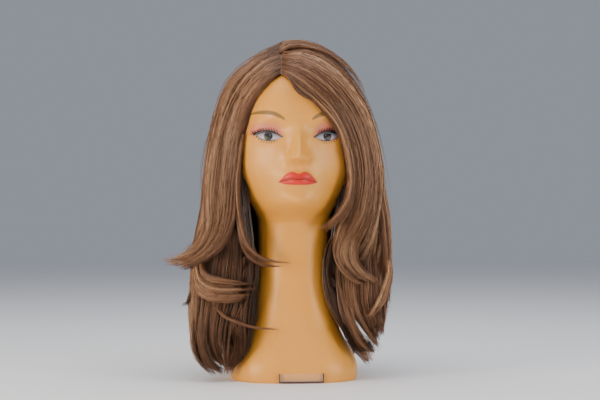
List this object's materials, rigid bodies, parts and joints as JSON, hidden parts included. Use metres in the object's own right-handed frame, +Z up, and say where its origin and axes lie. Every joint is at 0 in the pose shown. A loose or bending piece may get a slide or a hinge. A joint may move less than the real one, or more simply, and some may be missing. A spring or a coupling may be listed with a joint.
{
  "type": "mannequin training head",
  "caption": "Long-neck mannequin head on a flared base, with a painted face, wearing a lift-off side-parted wig of long layered waves.",
  "frame": {"origin": "mouth of the clamp socket, in the middle of the base underside", "axes": "+Z up, -Y the way the face looks, +X the wearer's left"},
  "size_m": [0.2837, 0.2375, 0.424],
  "materials": {
    "skin_vinyl": "satin vinyl, airbrushed skin tone",
    "board": "raw fibreboard",
    "socket_plastic": "moulded black",
    "screw_steel": "zinc plated",
    "clear_plastic": "clear sheet",
    "lace": "fine skin-toned lace",
    "parting_skin": "monofilament top",
    "cap_net": "dark stretch net with sewn wefts",
    "elastic": "woven elastic",
    "comb_steel": "black lacquered spring steel",
    "hair": "mid brown fibre with lighter strands"
  },
  "bodies": {
    "head": {"head_shell": "skin_vinyl", "base_board": "board", "clamp_socket": "socket_plastic", "base_screws": "screw_steel", "ticket_holder": "clear_plastic"},
    "wig": {"adjuster_strap_left": "elastic", "adjuster_strap_right": "elastic", "back_layer_lower": "hair", "back_layer_upper": "hair", "back_panel": "cap_net", "crown_hair_back": "hair", "crown_hair_left": "hair", "crown_hair_right": "hair", "crown_panel": "parting_skin", "curl_band_right": "hair", "ear_tab_left": "cap_net", "ear_tab_right": "cap_net", "end_curl_left": "hair", "end_curl_right": "hair", "face_layer_left": "hair", "face_layer_right": "hair", "flip_curl_right": "hair", "fringe_sweep": "hair", "lace_front": "lace", "lower_lock_left": "hair", "lower_lock_right": "hair", "nape_band": "elastic", "nape_comb": "comb_steel", "side_layer_left": "hair", "side_layer_right": "hair", "side_panel_left": "cap_net", "side_panel_right": "cap_net", "temple_comb_left": "comb_steel", "temple_comb_right": "comb_steel"}
  },
  "joints": [
    {"name": "wig_lift", "type": "slide", "parent": "head", "child": "wig", "axis": [0, 0, 1], "range_m": [0, 0.42]}
  ]
}
